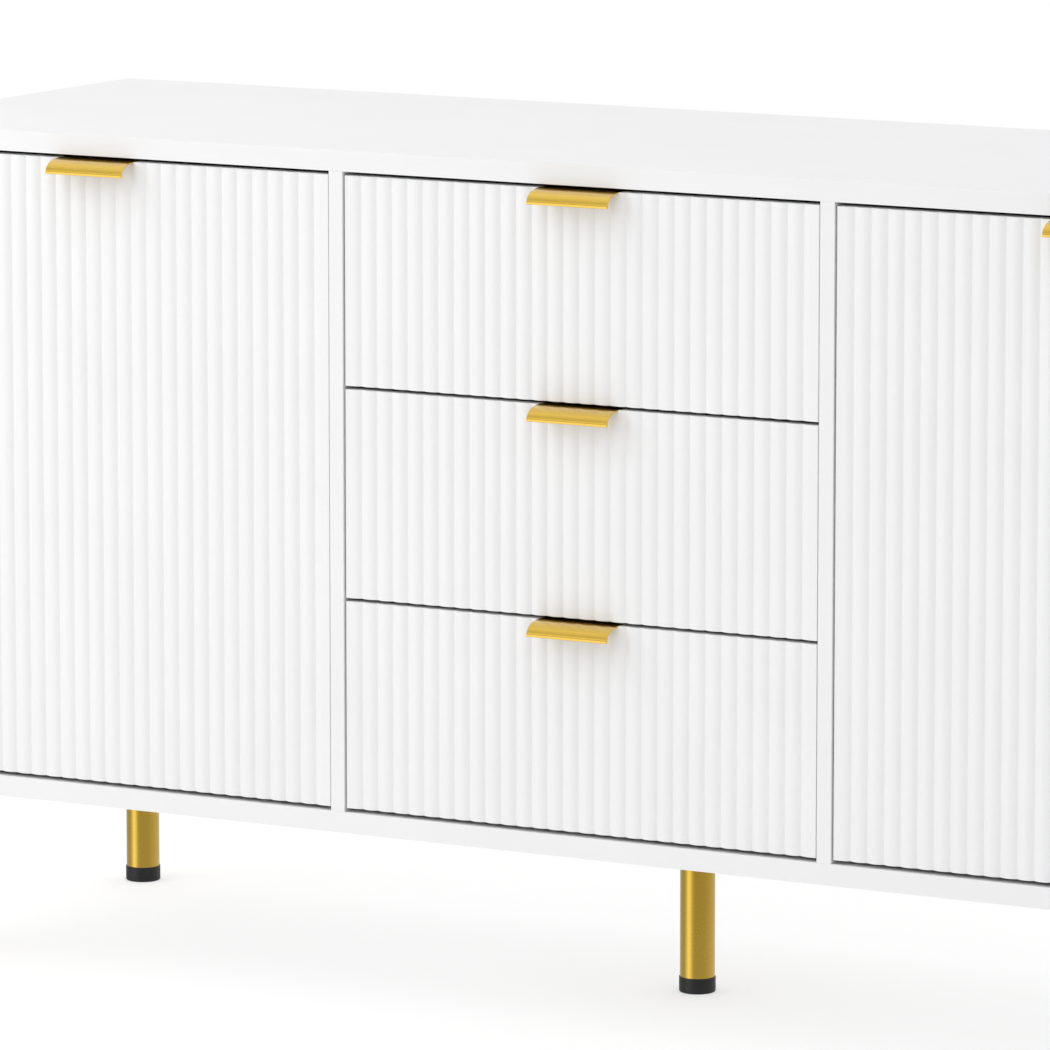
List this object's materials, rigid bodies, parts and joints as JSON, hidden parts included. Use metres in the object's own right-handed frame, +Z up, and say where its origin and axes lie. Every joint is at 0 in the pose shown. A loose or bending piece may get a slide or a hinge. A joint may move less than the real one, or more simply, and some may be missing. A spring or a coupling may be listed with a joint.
{
  "type": "sideboard buffet",
  "caption": "Low white sideboard with fluted doors at the sides and a stack of fluted drawers between them, edge pulls and round metal legs.",
  "frame": {"origin": "middle of the footprint on the floor, halfway across the width and halfway between the pulls' lips and the back edges", "axes": "+X towards the right-hand door, the doors and drawers face -Y, +Z up"},
  "size_m": [1.4, 0.4486, 0.73],
  "materials": {
    "cabinet_board": "satin white lacquer on fibreboard",
    "fluted_board": "satin white lacquer on routed fibreboard",
    "drawer_board": "white melamine on chipboard",
    "thin_board": "white-faced hardboard",
    "gold_metal": "satin gold plating",
    "foot_plastic": "black moulded plastic",
    "slide_steel": "zinc-plated steel",
    "hinge_steel": "nickel-plated steel"
  },
  "bodies": {
    "cabinet": {"back_panel": "thin_board", "bottom_panel": "cabinet_board", "centre_foot": "foot_plastic", "centre_leg": "gold_metal", "front_left_foot": "foot_plastic", "front_left_leg": "gold_metal", "front_right_foot": "foot_plastic", "front_right_leg": "gold_metal", "left_divider": "cabinet_board", "left_lower_hinge_arm": "hinge_steel", "left_shelf": "cabinet_board", "left_side_panel": "cabinet_board", "left_upper_hinge_arm": "hinge_steel", "lower_left_cabinet_slide": "slide_steel", "lower_right_cabinet_slide": "slide_steel", "middle_left_cabinet_slide": "slide_steel", "middle_right_cabinet_slide": "slide_steel", "rear_left_foot": "foot_plastic", "rear_left_leg": "gold_metal", "rear_right_foot": "foot_plastic", "rear_right_leg": "gold_metal", "right_divider": "cabinet_board", "right_lower_hinge_arm": "hinge_steel", "right_shelf": "cabinet_board", "right_side_panel": "cabinet_board", "right_upper_hinge_arm": "hinge_steel", "top_panel": "cabinet_board", "upper_left_cabinet_slide": "slide_steel", "upper_right_cabinet_slide": "slide_steel"},
    "left_door": {"left_door_handle": "gold_metal", "left_door_panel": "fluted_board"},
    "right_door": {"right_door_handle": "gold_metal", "right_door_panel": "fluted_board"},
    "upper_drawer": {"upper_drawer_back": "drawer_board", "upper_drawer_bottom": "thin_board", "upper_drawer_front": "fluted_board", "upper_drawer_handle": "gold_metal", "upper_drawer_left_side": "drawer_board", "upper_drawer_right_side": "drawer_board", "upper_left_drawer_slide": "slide_steel", "upper_right_drawer_slide": "slide_steel"},
    "middle_drawer": {"middle_drawer_back": "drawer_board", "middle_drawer_bottom": "thin_board", "middle_drawer_front": "fluted_board", "middle_drawer_handle": "gold_metal", "middle_drawer_left_side": "drawer_board", "middle_drawer_right_side": "drawer_board", "middle_left_drawer_slide": "slide_steel", "middle_right_drawer_slide": "slide_steel"},
    "lower_drawer": {"lower_drawer_back": "drawer_board", "lower_drawer_bottom": "thin_board", "lower_drawer_front": "fluted_board", "lower_drawer_handle": "gold_metal", "lower_drawer_left_side": "drawer_board", "lower_drawer_right_side": "drawer_board", "lower_left_drawer_slide": "slide_steel", "lower_right_drawer_slide": "slide_steel"}
  },
  "joints": [
    {"name": "left_door_hinge", "type": "hinge", "parent": "cabinet", "child": "left_door", "pos_m": [-0.6855, -0.20425, 0.442], "axis": [0, 0, -1], "range_deg": [0, 100]},
    {"name": "right_door_hinge", "type": "hinge", "parent": "cabinet", "child": "right_door", "pos_m": [0.6855, -0.20425, 0.442], "axis": [0, 0, 1], "range_deg": [0, 100]},
    {"name": "upper_drawer_slide", "type": "slide", "parent": "cabinet", "child": "upper_drawer", "axis": [0, -1, 0], "range_m": [0, 0.26]},
    {"name": "middle_drawer_slide", "type": "slide", "parent": "cabinet", "child": "middle_drawer", "axis": [0, -1, 0], "range_m": [0, 0.26]},
    {"name": "lower_drawer_slide", "type": "slide", "parent": "cabinet", "child": "lower_drawer", "axis": [0, -1, 0], "range_m": [0, 0.26]}
  ]
}
